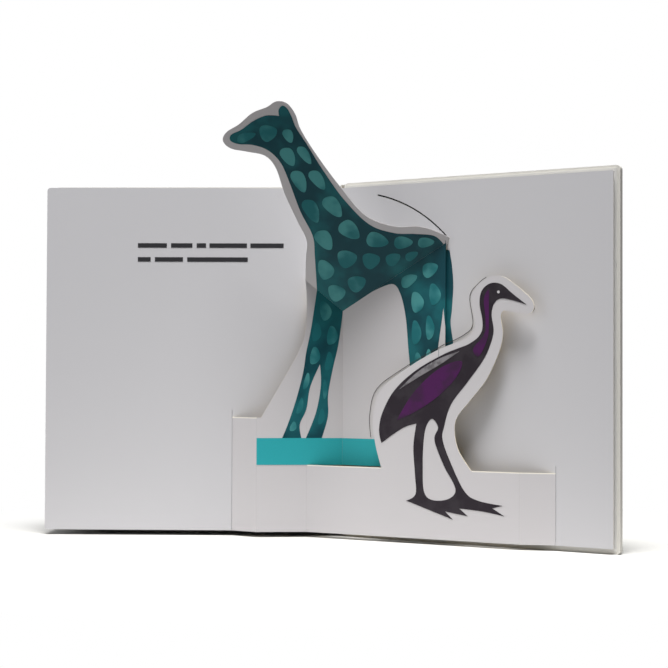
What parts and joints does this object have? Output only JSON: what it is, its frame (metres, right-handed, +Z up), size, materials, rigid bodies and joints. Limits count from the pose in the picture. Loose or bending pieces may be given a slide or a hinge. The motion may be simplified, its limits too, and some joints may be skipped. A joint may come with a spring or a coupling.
{
  "type": "pop-up book",
  "caption": "Hardback pop-up book standing open at a spread, with a folded cut-paper giraffe leaning out of it and a wading bird on a strip in front.",
  "frame": {"origin": "on the floor at the middle of the spine's foot", "axes": "+Z up, -Y towards the reader, +X towards the right page's side, level with the left page"},
  "size_m": [0.3214, 0.1215, 0.246],
  "materials": {
    "leaf_paper": "matt white card leaves",
    "pop_card": "matt white die-cut card",
    "greyboard": "raw grey board",
    "cover_paper": "smooth off-white covering paper",
    "lining_paper": "matt white lining paper",
    "ink_teal_dark": "matt printed ink",
    "ink_teal_mid": "matt printed ink",
    "ink_turquoise": "matt printed ink",
    "ink_charcoal": "matt printed ink",
    "ink_purple": "matt printed ink",
    "ink_grey": "matt printed ink",
    "ink_white": "matt printed ink",
    "ink_black": "matt printed ink"
  },
  "bodies": {
    "pages": {"leaf_block": "leaf_paper", "popup_sheet": "pop_card", "spine_strip": "greyboard", "spine_wrap": "cover_paper", "figure_print": "ink_teal_dark", "front_legs_print": "ink_teal_dark", "hind_legs_print": "ink_teal_dark", "neck_patches": "ink_teal_mid", "front_leg_patches": "ink_teal_mid", "hind_leg_patches": "ink_teal_mid", "bar_print_left": "ink_turquoise", "bar_print_right": "ink_turquoise", "bird_print": "ink_charcoal", "bird_wing": "ink_purple", "bird_back": "ink_grey", "bird_eye": "ink_white", "type_bars": "ink_black"},
    "front_cover": {"front_board": "greyboard", "front_wrap": "cover_paper", "front_lining": "lining_paper"},
    "back_cover": {"back_board": "greyboard", "back_wrap": "cover_paper", "back_lining": "lining_paper"}
  },
  "joints": [
    {"name": "front_cover_hinge", "type": "hinge", "parent": "pages", "child": "front_cover", "pos_m": [0.00034, 0.00954, 0], "axis": [0, 0, -1], "range_deg": [0, 90]},
    {"name": "back_cover_hinge", "type": "hinge", "parent": "pages", "child": "back_cover", "pos_m": [0.00175, -0.00938, 0], "axis": [0, 0, 1], "range_deg": [0, 60]}
  ]
}
